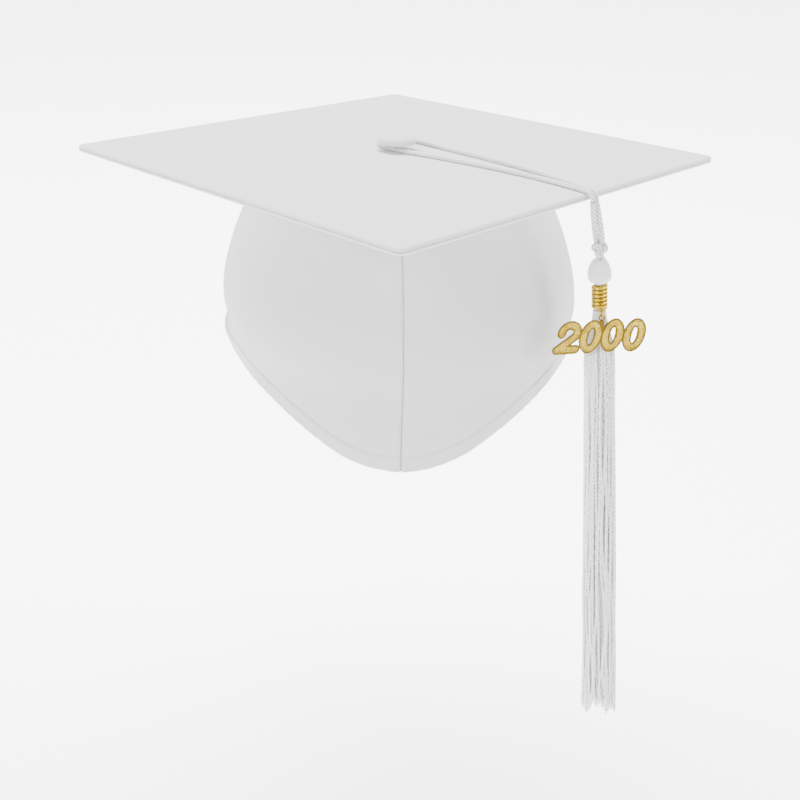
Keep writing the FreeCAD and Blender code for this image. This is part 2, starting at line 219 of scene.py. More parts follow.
def sparkling_gold(name, colour):
    """Plated field covered with fine stamped facets that catch the light one by one."""
    finish = Finish(name, Metallic=1.0)
    values = {"Vector": finish.place(), "Scale": 1900.0, "Randomness": 1.0}
    facets = finish.node("TexVoronoi", {"feature": "F1"}, values, "Distance")
    tint = finish.noise(finish.place(), 1300.0, 3.0)
    deep = (colour[0] * 0.72, colour[1] * 0.62, colour[2] * 0.42, 1.0)
    bright = (1.0, 0.74, 0.12, 1.0)
    finish.feed("Base Color", finish.mix((tint * 3.0 - 1.0).clamped(), deep, bright))
    finish.feed("Roughness", 0.34 + (tint - 0.5) * 0.2)
    finish.bump(facets, 0.0006, 1.0)
    return finish.material


def rough(name, low, high, scale, roughness, depth, metallic=0.0):
    """A plain material whose tone and surface vary with a noise."""
    finish = Finish(name, Metallic=metallic)
    grain = finish.noise(finish.place(), scale, 4.0)
    finish.feed("Base Color", finish.mix(grain, low, high))
    finish.feed("Roughness", roughness + (grain - 0.5) * 0.2)
    finish.bump(grain, depth, 0.7)
    return finish.material


cloth = woven("matte_white_cloth", 0.66, 0.00042, 0.00005)
band_cloth = woven("headband_cloth", 0.74, 0.0007, 0.00012, 0.004)
elastic_weave = woven("ribbed_elastic", 0.78, 0.0011, 0.0003)
cord_yarn = yarn("cord_rayon", 0.82, 0.8)
skirt_yarn = yarn("tassel_rayon", 0.92, 0.3, 0.5)
head_yarn = yarn("folded_rayon", 0.85, 0.35, 0.34)
gold = (0.58, 0.41, 0.03, 1.0)
gold_wire = polished_gold("gold_wire", gold, 0.2)
gold_rim = polished_gold("polished_gold_rim", (0.28, 0.19, 0.02, 1.0), 0.2)
gold_field = sparkling_gold("sparkling_gold_field", (0.82, 0.60, 0.03))
card = rough("grey_card", (0.42, 0.38, 0.31, 1), (0.56, 0.52, 0.44, 1), 900, 0.9, 0.0001)
backing = rough("stiff_backing", grey(0.72), grey(0.82), 1300, 0.9, 0.00012)
pressed_metal = rough("pressed_metal", grey(0.62), grey(0.72), 300, 0.3, 0.00002, 1.0)

finishes = {
    "card": card, "button_metal": pressed_metal, "backing": backing, "tape": band_cloth,
    "headband": band_cloth, "elastic": elastic_weave, "thread": cord_yarn, "white_cloth": cloth,
    "white_cord": cord_yarn, "tassel_yarn": skirt_yarn, "gold_wire": gold_wire,
    "gold_charm": gold_rim}

slot_of = {part["node"]: part["material_slot"] for part in frame["record"]["subparts"]}
for node_name, node in frame["nodes"].items():
    node.data.materials.clear()
    node.data.materials.append(finishes[slot_of[node_name]])


# ---- modelling helpers --------------------------------------------------------------------------


def nothing_selected():
    if bpy.context.object and bpy.context.object.mode != "OBJECT":
        bpy.ops.object.mode_set(mode="OBJECT")
    bpy.ops.object.select_all(action="DESELECT")


def alone(piece):
    nothing_selected()
    piece.select_set(True)
    bpy.context.view_layer.objects.active = piece
    return piece


def finished(piece, name, material, angle=40.0):
    """Names a new piece, gives it its finish, smooths it and settles its place into its mesh."""
    alone(piece)
    piece.name = name
    piece.data.name = name
    bpy.ops.object.transform_apply(location=True, rotation=True, scale=True)
    bpy.ops.object.shade_smooth_by_angle(angle=math.radians(angle))
    piece.data.materials.clear()
    piece.data.materials.append(material)
    return piece


def apply_modifiers(piece):
    alone(piece)
    for modifier in list(piece.modifiers):
        bpy.ops.object.modifier_apply(modifier=modifier.name)


def grid(columns, rows):
    """A flat unit sheet, x and y from -0.5 to 0.5, with its own map."""
    nothing_selected()
    bpy.ops.mesh.primitive_grid_add(x_subdivisions=columns, y_subdivisions=rows, size=1.0)
    return bpy.context.object


def map_from(piece, function):
    """Writes the piece's map from each vertex's place."""
    mesh = piece.data
    layer = mesh.uv_layers.active or mesh.uv_layers.new(name="UVMap")
    places = [function(vertex.co) for vertex in mesh.vertices]
    for loop in mesh.loops:
        layer.data[loop.index].uv = places[loop.vertex_index]


def curve_points(points):
    """Points read from the smooth curve that has these points as its control points."""
    curve = bpy.data.curves.new("route", "CURVE")
    curve.dimensions = "3D"
    spline = curve.splines.new("NURBS")
    spline.points.add(len(points) - 1)
    for control, point in zip(spline.points, points):
        control.co = (*point, 1.0)
    spline.order_u = 3
    spline.use_endpoint_u = True
    spline.resolution_u = 24
    route = bpy.data.objects.new("route", curve)
    bpy.context.collection.objects.link(route)
    bpy.context.view_layer.update()
    mesh = bpy.data.meshes.new_from_object(route.evaluated_get(
        bpy.context.evaluated_depsgraph_get()))
    found = [vertex.co.copy() for vertex in mesh.vertices]
    bpy.data.objects.remove(route)
    bpy.data.curves.remove(curve)
    bpy.data.meshes.remove(mesh)
    return found


def evenly(points, step):
    """The same line with its points a step apart."""
    lengths = [0.0]
    for here, there in zip(points, points[1:]):
        lengths.append(lengths[-1] + (there - here).length)
    total = lengths[-1]
    count = max(2, round(total / step))
    found = []
    segment = 0
    for index in range(count + 1):
        target = total * index / count
        while segment < len(points) - 2 and lengths[segment + 1] < target:
            segment += 1
        span = lengths[segment + 1] - lengths[segment]
        share = (target - lengths[segment]) / span if span else 0.0
        found.append(points[segment].lerp(points[segment + 1], min(max(share, 0.0), 1.0)))
    return found


def sides_of(points, first_side):
    """A pair of directions square to the line at each point, carried along without twisting."""
    side = first_side.normalized()
    frames = []
    for index in range(len(points)):
        ahead = points[min(index + 1, len(points) - 1)] - points[max(index - 1, 0)]
        ahead.normalize()
        side = (side - ahead * side.dot(ahead)).normalized()
        frames.append((side.copy(), ahead.cross(side).normalized()))
    return frames


def ply_share(plies, angle):
    """How far an angle lies from a ply's crest, as a share of the way to the groove."""
    half = math.pi / plies
    return abs((angle % (2 * half)) - half) / half if plies > 1 else 0.0


def plied(plies, angle):
    """How far out the surface of plied strands lies at an angle, for an outer radius of 1."""
    if plies < 2:
        return 1.0
    half = math.pi / plies
    ply = math.sin(half) / (1 + math.sin(half))
    middle = 1 - ply
    turn = ply_share(plies, angle) * half
    bare = middle * math.cos(turn) + math.sqrt(max(ply ** 2 - (middle * math.sin(turn)) ** 2, 0))
    return 0.45 + 0.55 * bare


def strand(points, radius, first_side, sides=24, plies=4, pitch=6 * MM, phase=0.0, scale=None):
    """Vertices, faces and map of one twisted strand along a line, closed at both ends."""
    frames = sides_of(points, first_side)
    vertices = []
    maps = []
    travelled = 0.0
    for index, (point, (side, up)) in enumerate(zip(points, frames)):
        if index:
            travelled += (point - points[index - 1]).length
        twist = 2 * math.pi * travelled / pitch + phase if pitch else phase
        size = radius * (scale(index / (len(points) - 1)) if scale else 1.0)
        for corner in range(sides):
            angle = 2 * math.pi * corner / sides
            reach = size * plied(plies, angle)
            turned = angle + twist
            vertices.append(point + (side * math.cos(turned) + up * math.sin(turned)) * reach)
            # the map's first number places the yarn's painted shade in the grooves between the plies
            maps.append((ply_share(plies, angle), travelled * 20.0 + corner * 0.3))
    faces = []
    for ring in range(len(points) - 1):
        base = ring * sides
        for corner in range(sides):
            following = (corner + 1) % sides
            faces.append((base + corner, base + following, base + sides + following,
                          base + sides + corner))
    last = (len(points) - 1) * sides
    faces.append(tuple(reversed(range(sides))))
    faces.append(tuple(range(last, last + sides)))
    return vertices, faces, maps


def mesh_piece(name, strands, material, angle=75.0):
    """One piece made of several strands."""
    vertices = []
    faces = []
    maps = []
    for strand_vertices, strand_faces, strand_maps in strands:
        base = len(vertices)
        vertices += strand_vertices
        faces += [tuple(corner + base for corner in face) for face in strand_faces]
        maps += strand_maps
    mesh = bpy.data.meshes.new(name)
    mesh.from_pydata(vertices, [], faces)
    layer = mesh.uv_layers.new(name="UVMap")
    for loop in mesh.loops:
        layer.data[loop.index].uv = maps[loop.vertex_index]
    piece = bpy.data.objects.new(name, mesh)
    bpy.context.collection.objects.link(piece)
    return finished(piece, name, material, angle)


def ease(value):
    value = min(max(value, 0.0), 1.0)
    return value * value * (3 - 2 * value)


def wave(value):
    return math.sin(2 * math.pi * value)


def near(value, middle, width):
    """1 at the middle, falling smoothly to nothing about two widths away."""
    return math.exp(-((value - middle) / width) ** 2)


def ripple(place, scale, seed=0.0):
    return noise.noise(Vector(place) * scale + Vector((seed, seed * 0.7, -seed)))


# ---- board --------------------------------------------------------------------------------------

corner_radius = 3.5 * MM
# the folded edge of a cover: side of the square and height over the seam, both in millimetres
fold = ((238.6, 1.72), (239.35, 1.42), (239.85, 1.0), (240.05, 0.55), (239.8, 0.16),
        (239.2, 0.03), (238.6, 0.02))


def rounded_corner(point):
    """Pulls a square's corner in to its radius."""
    half = max(abs(point.x), abs(point.y))
    inner = half - corner_radius
    across = abs(point.x) - inner
    down = abs(point.y) - inner
    if across > 0 and down > 0:
        reach = math.hypot(across, down)
        longest = max(across, down)
        scale = longest / reach
        point.x = math.copysign(inner + across * scale, point.x)
        point.y = math.copysign(inner + down * scale, point.y)
    return point


def board_cover(name, node, way):
    """One cover: a flat cloth with its edge folded round the board to the seam."""
    nothing_selected()
    flat = 237.4 * MM
    cover_height = 1.8 * MM
    bpy.ops.mesh.primitive_grid_add(x_subdivisions=96, y_subdivisions=96, size=flat)
    cover = bpy.context.object
    bpy.ops.object.mode_set(mode="EDIT")
    bpy.ops.mesh.select_all(action="SELECT")
    bpy.ops.mesh.region_to_loop()
    side = flat
    height = cover_height
    bpy.ops.mesh.select_mode(type="EDGE")
    for next_side, next_height in fold:
        scale = next_side * MM / side
        bpy.ops.mesh.extrude_edges_move(
            TRANSFORM_OT_translate={"value": (0, 0, (next_height * MM - height))})
        bpy.ops.transform.resize(value=(scale, scale, 1), center_override=(0, 0, 0))
        side = next_side * MM
        height = next_height * MM
    bpy.ops.object.mode_set(mode="OBJECT")
    for vertex in cover.data.vertices:
        place = rounded_corner(vertex.co)
        inside = 119 * MM - max(abs(place.x), abs(place.y))
        calm = ease(inside / (9 * MM))
        swell = ripple((place.x, place.y, 0), 14, way) * 0.22 + ripple(place, 45, way) * 0.05
        place.z += (swell * calm - 0.12 * near(inside, 4 * MM, 1.6 * MM)) * MM
        edge = 1 - ease(inside / (3 * MM))
        run = place.x + place.y
        place.z += 0.05 * MM * edge * ripple((run, place.x - place.y, 0), 160, 3 + way)
    map_from(cover, lambda place: (place.x, place.y))
    cover.data.transform(Matrix.Translation((0, 0, cover_height)))
    if way < 0:
        cover.data.transform(Matrix.Scale(-1, 4, (0, 0, 1)))
        cover.data.flip_normals()
    cover.data.transform(Matrix.Rotation(math.radians(45), 4, "Z"))
    cover.data.transform(Matrix.Translation((0, 0, board_seam)))
    finished(cover, name, cloth, 60)
    solid = cover.modifiers.new("thickness", "SOLIDIFY")
    solid.thickness = 0.35 * MM
    solid.offset = -1
    apply_modifiers(cover)
    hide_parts(node)
    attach(cover, "cap")


board_cover("upper_board_cloth", "board_top_cover", 1)
board_cover("lower_board_cloth", "board_bottom_cover", -1)


# ---- crown --------------------------------------------------------------------------------------

# height and radius across the ears, in millimetres, from below the hem up to the board
crown_profile = ((-45.0, 93.0), (0.0, 94.3), (19.0, 96.5), (36.0, 95.5), (55.5, 90.0),
                 (75.5, 82.0), (96.4, 76.5))
crown_stretch = 1.064
crown_top = cover_bottom / MM
hem_depth = 38.0
hem_tip_radius = 75.0
hem_side_radius = 45.0
hem_slope = math.radians(29)
side_seam = math.radians(98.8)


def crown_radius(height):
    """Radius across the ears at a height, through the profile's points."""
    points = crown_profile
    index = 0
    while index < len(points) - 2 and height > points[index + 1][0]:
        index += 1
    before = points[max(index - 1, 0)]
    start = points[index]
    end = points[index + 1]
    after = points[min(index + 2, len(points) - 1)]
    span = end[0] - start[0]
    share = min(max((height - start[0]) / span, -0.2), 1.0)
    first = (end[1] - before[1]) / (end[0] - before[0]) * span
    last = (after[1] - start[1]) / (after[0] - start[0]) * span
    square = share * share
    cube = square * share
    return ((2 * cube - 3 * square + 1) * start[1] + (cube - 2 * square + share) * first
            + (3 * square - 2 * cube) * end[1] + (cube - square) * last)


def hem_height(across):
    """Height of the front hem, in millimetres, at a distance from the seam."""
    tip_x = hem_tip_radius * math.sin(hem_slope)
    tip_z = hem_tip_radius * (1 - math.cos(hem_slope)) - hem_depth
    side_z = -hem_side_radius * (1 - math.cos(hem_slope))
    side_x = tip_x + (side_z - tip_z) / math.tan(hem_slope)
    flat_x = side_x + hem_side_radius * math.sin(hem_slope)
    across = abs(across)
    if across < tip_x:
        return hem_tip_radius - math.sqrt(hem_tip_radius ** 2 - across ** 2) - hem_depth
    if across < side_x:
        return tip_z + (across - tip_x) * math.tan(hem_slope)
    if across < flat_x:
        return -hem_side_radius + math.sqrt(hem_side_radius ** 2 - (flat_x - across) ** 2)
    return 0.0


def slumped(place):
    """The soft crown hangs a little to one side, and its front seam wanders."""
    drop = crown_top - place.z / MM
    seam = near(place.x, 0, 24 * MM) if place.y < 0 else 0.0
    aside = 1.4 + 0.024 * drop + 0.9 * seam * math.sin(2 * math.pi * (drop - 12) / 190)
    return place + Vector((aside * MM, 0, 0))


def crown_point(azimuth, height, depth):
    """A point on the crown, depth under its outside. Azimuth 0 is the front seam."""
    radius = crown_radius(height) - depth
    return slumped(Vector((radius * math.sin(azimuth),
                           -radius * crown_stretch * math.cos(azimuth), height)) * MM)


def round_crown(place):
    """Map numbers for cloth that goes round the crown: the way round and the height, in metres."""
    return math.atan2(place.x, -place.y) * 0.095, place.z


def hem_at(azimuth):
    """Height of the hem at an azimuth, in millimetres."""
    if abs(azimuth) < math.pi / 2:
        return hem_height(crown_radius(-10.0) * math.sin(azimuth))
    return 0.0


def waist_depth(azimuth, height):
    """How far the elastic draws the crown in above itself, and lets it flare round itself."""
    drawn = ease((abs(azimuth) - 1.1) / 0.3) * (1.0 if azimuth < 0 else 0.45)
    return drawn * (2.4 * near(height, 14.5, 4.2) - 1.9 * near(height, 4.0, 5.0))


def outer_depth(azimuth, height, over_hem):
    """How far the outer cloth lies under the plain crown: folds, ridges, the hem and its gathers."""
    across = azimuth * crown_radius(height)
    # the front seam: a raised allowance on each side of the stitched line
    near_seam = near(across, 0, 5.0)
    depth = -0.8 * near_seam + 1.25 * near(across, 0, 0.85)
    depth += 0.3 * near_seam * wave(height / 17.0 + 0.2 * wave(height / 41.0))
    # the soft cloth's broad and narrow swells
    swell = ripple((across * 0.012, height * 0.02, 3.1), 1.0) * 1.3
    swell += ripple((across * 0.05, height * 0.02, 7.7), 1.0) * 0.45
    depth += swell * (1 - near_seam)
    # easing where it is sewn to the board
    top = near(crown_top, height, 9.0)
    depth += top * 0.35 * wave(across / 13.0 + 0.4 * ripple((across * 0.03, 0, 1), 1.0))
    # the front hem: a line of stitching over a puckered, turned-up band
    back = ease((abs(azimuth) - side_seam + 0.16) / 0.22)
    stitched = near(over_hem, 8.5, 0.7) * 0.55
    pucker = wave(across / 6.5 + 0.8 * ripple((across * 0.06, 0, 5), 1.0))
    band = 1 - ease((over_hem - 7.6) / 2.0)
    depth += (1 - back) * (stitched - band * (0.3 + 0.1 * pucker))
    # the back: folds gathered by the elastic, between two lines of stitching
    gather = near(over_hem, 11.0, 22.0) if over_hem > 11 else 1.0
    folds = wave(across / 7.4 + 0.6 * ripple((across * 0.04, height * 0.01, 9), 1.0))
    depth += back * gather * (1.2 + 1.35 * folds)
    depth += back * 0.7 * (near(over_hem, 1.8, 0.9) + near(over_hem, 22.5, 0.9))
    return depth + waist_depth(azimuth, height)


def crown_cloth(name, nodes, start, end, columns, rows, low_of):
    """A sheet of the crown between two azimuths, from low_of(azimuth) up to the board."""
    sheet = grid(columns, rows)
    for vertex in sheet.data.vertices:
        azimuth = start + (vertex.co.x + 0.5) * (end - start)
        low = low_of(azimuth)
        share = vertex.co.y + 0.5
        height = low + (crown_top - low) * share
        way_round = azimuth if azimuth < math.pi else azimuth - 2 * math.pi
        vertex.co = crown_point(azimuth, height, outer_depth(way_round, height, height - low))
    map_from(sheet, round_crown)
    sheet.data.update()
    finished(sheet, name, cloth, 80)
    solid = sheet.modifiers.new("thickness", "SOLIDIFY")
    solid.thickness = 0.6 * MM
    solid.offset = -1
    apply_modifiers(sheet)
    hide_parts(*nodes)
    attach(sheet, "cap")


crown_cloth("left_crown_cloth", ["crown_panel_left", "hem_facing_left"], -side_seam, 0.0,
            240, 150, hem_at)
crown_cloth("right_crown_cloth", ["crown_panel_right", "hem_facing_right"], 0.0, side_seam,
            240, 150, hem_at)
crown_cloth("back_crown_cloth", ["crown_back_panel"], side_seam + 0.001,
            2 * math.pi - side_seam - 0.001, 420, 90, lambda azimuth: 0.0)


def inner_layer(node_name, material):
    """A hidden layer of the crown, moved with the crown's slump."""
    layer = bpy.data.objects.new("lining_" + node_name, frame["nodes"][node_name].data.copy())
    bpy.context.collection.objects.link(layer)
    for vertex in layer.data.vertices:
        place = frame["nodes"][node_name].matrix_world @ vertex.co
        azimuth = math.atan2(place.x, -place.y / crown_stretch)
        place.xy *= 1 - waist_depth(azimuth, place.z / MM) / crown_radius(place.z / MM)
        vertex.co = slumped(place)
    map_from(layer, round_crown)
    finished(layer, "inner_" + node_name, material, 40)
    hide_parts(node_name)
    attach(layer, "cap")


for hidden in ("interfacing_left", "interfacing_right", "front_seam_tape", "front_headband",
               "elastic_band", "back_casing"):
    inner_layer(hidden, finishes[slot_of[hidden]])

# ---- button -------------------------------------------------------------------------------------

button_radius = (button_high.x - button_low.x) / 2
button_height = button_high.z - button_low.z


def covered_button():
    """A disc of cloth drawn over a dome and gathered under its rim."""
    nothing_selected()
    rings = 26
    rim_height = 1.8 * MM
    bpy.ops.mesh.primitive_circle_add(vertices=96, radius=button_radius, fill_type="NOTHING",
                                      location=(0, 0, button_low.z + rim_height))
    button = bpy.context.object
    bpy.ops.object.transform_apply(location=True)
    # how far out and how high each ring of the cover lies, from the rim to the dome's middle
    dome = []
    rise = button_height - rim_height
    for ring in range(1, rings):
        turn = math.pi / 2 * ring / rings
        dome.append((math.cos(turn), math.sin(turn) ** 0.9 * rise + rim_height))
    side = 1.0
    bpy.ops.object.mode_set(mode="EDIT")
    bpy.ops.mesh.select_all(action="SELECT")
    height = rim_height
    for reach, next_height in dome:
        bpy.ops.mesh.extrude_edges_move(
            TRANSFORM_OT_translate={"value": (0, 0, next_height - height)})
        bpy.ops.transform.resize(value=(reach / side, reach / side, 1), center_override=(0, 0, 0))
        side = reach
        height = next_height
    bpy.ops.mesh.edge_face_add()
    bpy.ops.mesh.poke()
    bpy.ops.mesh.select_all(action="DESELECT")
    bpy.ops.object.mode_set(mode="OBJECT")
    rim = button_radius * 0.999
    for vertex in button.data.vertices:
        at_rim = abs(vertex.co.z - button_low.z - rim_height) < 1e-7
        vertex.select = at_rim and vertex.co.xy.length > rim
    bpy.ops.object.mode_set(mode="EDIT")
    bpy.ops.mesh.select_mode(type="VERT")
    bpy.ops.mesh.select_mode(type="EDGE")
    # how far out and how high, in millimetres, the cloth lies as it goes in under the rim
    under = ((1.0, 0.75), (0.985, 0.35), (0.95, 0.08), (0.9, 0.0), (0.8, 0.05), (0.62, 0.3))
    side = 1.0
    height = rim_height
    for reach, level in under:
        bpy.ops.mesh.extrude_edges_move(
            TRANSFORM_OT_translate={"value": (0, 0, level * MM - height)})
        bpy.ops.transform.resize(value=(reach / side, reach / side, 1), center_override=(0, 0, 0))
        side = reach
        height = level * MM
    bpy.ops.mesh.select_all(action="SELECT")
    bpy.ops.mesh.normals_make_consistent(inside=False)
    bpy.ops.object.mode_set(mode="OBJECT")
    for vertex in button.data.vertices:
        azimuth = math.atan2(vertex.co.y, vertex.co.x)
        low = 1 - ease((vertex.co.z - button_low.z) / (1.6 * MM))
        pleat = wave(azimuth * 11 / math.pi + 0.2 * wave(azimuth / math.pi))
        vertex.co.xy *= 1 - low * 0.012 * (1 + pleat)
        vertex.co.z += ripple(vertex.co, 170, 2) * 0.07 * MM * (1 - low)
    map_from(button, lambda place: (place.x, place.y))
    finished(button, "covered_button", cloth, 70)
    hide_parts("button_cover")
    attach(button, "cap")


covered_button()

# ---- cord ---------------------------------------------------------------------------------------

# lengths without MM are millimetres on the board, for on_board()
strand_radius = 1.15 * MM
strand_lift = 1.5                               # strand's middle above the board
strand_sink = 0.2                               # how far the strands press into the cloth
bend_radius = 4.5
bend_start = 119.0
strand_side = (3.8, 6.6)                        # each strand's place along the edge at the bend
tassel_side = 9.3                               # the tassel's place along the edge
loop_height = board_top / MM + strand_lift
bend_height = loop_height - bend_radius
ply_pitch = 9.5 * MM
hang_height = bend_height * MM                  # where the cord leaves the bend
cord_slack = 1.2 * MM
tassel_axis = on_board(bend_start + bend_radius, tassel_side, 0)
# takes a piece made upright over the origin to where it hangs, leaning a little along +X
hanging = (Matrix.Translation(tassel_axis + Vector((0, 0, hang_height)))
           @ Matrix.Rotation(math.radians(-5), 4, "Y")
           @ Matrix.Translation((0, 0, -hang_height - cord_slack)))

# the strands on the board, out from its centre and along the edge: from the bend, past the front
# of the button's neck, round behind the button, and back to the bend
loop_points = (
    (bend_start - 0.3, 3.8), (97.0, 6.4), (67.0, 6.1), (36.0, 2.6), (11.0, -2.3), (-4.0, -4.0),
    (-15.5, 0.2), (-19.6, 9.6), (-14.2, 18.0), (-2.0, 20.8), (17.0, 19.6), (45.0, 19.2),
    (74.0, 16.6), (99.0, 12.0), (bend_start - 0.3, 6.6))


def hanger_loop():
    """The strand that lies on the board, and its middle line."""
    route = [on_board(out, side, loop_height - strand_sink) for out, side in loop_points]
    line = evenly(curve_points(route), 0.5 * MM)
    loop = mesh_piece("hanger_cord", [strand(line, strand_radius, Vector((0, 0, 1)),
                                             pitch=-ply_pitch)], cord_yarn)
    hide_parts("hanger_loop")
    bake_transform(loop)
    return loop, line


def bend_line(side):
    """One strand over the board's edge, from just before the bend to the start of the twist."""
    points = [on_board(bend_start - 1.0, side, loop_height - strand_sink),
              on_board(bend_start, side, loop_height - strand_sink / 4)]
    for step in range(1, 17):
        turn = math.pi / 2 * step / 16
        points.append(on_board(bend_start + bend_radius * math.sin(turn), side,
                               bend_height + bend_radius * math.cos(turn)))
    return evenly(points, 0.4 * MM)


def hanger_bend():
    """Both strands where they turn down over the board's edge."""
    strands = [strand(bend_line(side), strand_radius, outward, pitch=-ply_pitch, phase=side)
               for side in strand_side]
    bend = mesh_piece("hanger_bend_cord", strands, cord_yarn)
    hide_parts("hanger_bend")
    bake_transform(bend)
    return bend


knot_height = 73.95                             # in millimetres
cord_bottom = 77.2 * MM
twist_pitch = 96.0 * MM
hanging_radius = 1.45 * MM                      # a strand spreads where it isn't pressed flat
strand_reach = 1.4 * MM                         # from the pair's middle to each strand's


def twisted_line(half):
    """One strand of the twisted cord: beside the other at the top, then round it."""
    top = hang_height + cord_slack
    run = top - cord_bottom
    points = []
    count = round(run / (0.35 * MM))
    for index in range(count + 1):
        down = run * index / count
        angle = 2 * math.pi * down / twist_pitch + (math.pi if half else 0.0)
        offset = (along * math.cos(angle) + outward * math.sin(angle)) * strand_reach
        offset += along * (sum(strand_side) / 2 - tassel_side) * MM * (1 - down / run)
        points.append(hanging @ (offset + Vector((0, 0, top - down))))
    return points


def twisted_cord():
    """Both strands below the edge, lying close and turning a little round each other."""
    strands = [strand(twisted_line(half), hanging_radius, outward, pitch=-ply_pitch, phase=half)
               for half in (0, 1)]
    cord = mesh_piece("twisted_cord", strands, cord_yarn)
    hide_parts("hanging_cord")
    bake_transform(cord)
    return cord


def knot():
    """An overhand knot pulled tight, and the two strands that leave it for the tassel's head."""
    turns = []
    for step in range(90):
        t = 2 * math.pi * step / 89 + 0.35
        turns.append(Vector((
            (math.sin(t) + 2 * math.sin(2 * t)) * 0.92,
            -math.sin(3 * t) * 1.3,
            (math.cos(t) - 2 * math.cos(2 * t)) * 1.05 + knot_height)) * MM)
    strands = [strand(evenly(turns, 0.4 * MM), 1.5 * MM, Vector((0.3, 1, 0)), pitch=-ply_pitch)]
    for way in (-1, 1):
        leg = [Vector((x, y, knot_height + drop)) * MM for x, y, drop in (
            (way * 0.4, 0, 0), (way * 0.6, -0.8, -2.4), (way * 1.4, -1.6, -4.2),
            (way * 2.4, -2.6, -6.2), (way * 2.7, -2.4, -8.4), (way * 1.5, -0.6, -9.6))]
        strands.append(strand(evenly(curve_points(leg), 0.4 * MM), 0.95 * MM, Vector((0, 1, 0)),
                              pitch=-ply_pitch))
    piece = mesh_piece("overhand_knot", strands, cord_yarn)
    piece.data.transform(hanging)
    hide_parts("hanger_knot")
    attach(piece, "knot")
    return piece


loop_piece, loop_line = hanger_loop()
bend_piece = hanger_bend()
twist_piece = twisted_cord()
knot_piece = knot()

# ---- tassel -------------------------------------------------------------------------------------


def tassel_point(azimuth, radius, height):
    """A point by its turn round the tassel from the front, its reach and its height."""
    return Vector((radius * math.sin(azimuth), -radius * math.cos(azimuth), height))


ring_reach = 6.25 * MM        # the jump ring's middle in front of the tassel's
skirt_top = 43.2 * MM
skirt_bottom = -197.0 * MM
skirt_waist = 2.6             # the skirt's reach under the binding, in millimetres
skirt_swell = 4.3             # how much wider it is once the threads have spread
thread_pitch = 4.6 * MM

# how far out and how high the folded yarn of the head lies, in millimetres
head_profile = ((0.6, 68.3), (2.2, 69.3), (3.5, 68.4), (4.7, 66.3), (5.5, 63.9), (5.85, 61.6),
                (5.6, 59.4), (4.7, 57.9), (3.2, 57.3), (2.2, 56.4))


def tassel_head():
    """The yarn folded over the cord: a ribbed silky bulb."""
    outline = evenly(curve_points([Vector((radius, 0, height)) for radius, height in head_profile]),
                     0.28)
    sheet = grid(192, len(outline) - 1)
    ribs = 26
    for vertex in sheet.data.vertices:
        azimuth = (vertex.co.x + 0.5) * 2 * math.pi
        place = outline[round((0.5 - vertex.co.y) * (len(outline) - 1))]
        strand_angle = azimuth + 0.05 * ripple((azimuth, place.z * 0.1, 0), 2.0)
        rib = abs(math.sin(strand_angle * ribs / 2)) ** 0.7
        lump = ripple((math.sin(azimuth) * 2, math.cos(azimuth) * 2, place.z * 0.12), 1.0)
        radius = place.x * (0.93 + 0.07 * rib + 0.035 * lump)
        vertex.co = tassel_point(azimuth, radius * MM, place.z * MM)
    # the map's first number places the yarn's painted shade in the grooves between the ribs
    map_from(sheet, lambda place: (
        1 - abs(math.sin(math.atan2(place.x, -place.y) * ribs / 2)), place.z * 20))
    alone(sheet)
    bpy.ops.object.mode_set(mode="EDIT")
    bpy.ops.mesh.select_all(action="SELECT")
    bpy.ops.mesh.remove_doubles(threshold=1e-6)
    bpy.ops.mesh.normals_make_consistent(inside=False)
    bpy.ops.object.mode_set(mode="OBJECT")
    sheet.data.transform(hanging)
    finished(sheet, "folded_yarn_head", head_yarn, 80)
    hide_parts("tassel_head")
    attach(sheet, "tassel")


def bound_coil():
    """The wire wound round the neck, with its end turned out into an eye."""
    radius = 3.1 * MM
    pitch = 1.95 * MM
    turns = 6.2
    bottom = 44.15 * MM
    steps = round(turns * 40)
    helix = []
    for step in range(steps + 1):
        angle = 2 * math.pi * turns * step / steps
        helix.append(Vector((radius * math.cos(angle), radius * math.sin(angle),
                             bottom + pitch * turns * step / steps)))
    strands = [strand(helix, 0.87 * MM, Vector((0, 0, 1)), plies=1, pitch=0)]
    eye = 1.35 * MM
    eye_wire = 0.4 * MM
    eye_height = 45.75 * MM
    turned = []
    for step in range(41):
        angle = math.pi / 2 + 2 * math.pi * step / 40
        turned.append(Vector((eye * math.cos(angle), -ring_reach,
                              eye_height + eye * math.sin(angle))))
    strands.append(strand(turned, eye_wire, Vector((0, 1, 0)), sides=12, plies=1, pitch=0))
    stalk = [Vector((0, -radius, eye_height + eye)), Vector((0, -ring_reach, eye_height + eye))]
    strands.append(strand(evenly(stalk, 0.5 * MM), eye_wire, Vector((1, 0, 0)), sides=12,
                          plies=1, pitch=0))
    piece = mesh_piece("gold_binding", strands, gold_wire, 50)
    piece.data.transform(hanging)
    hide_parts("gold_coil")
    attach(piece, "tassel")


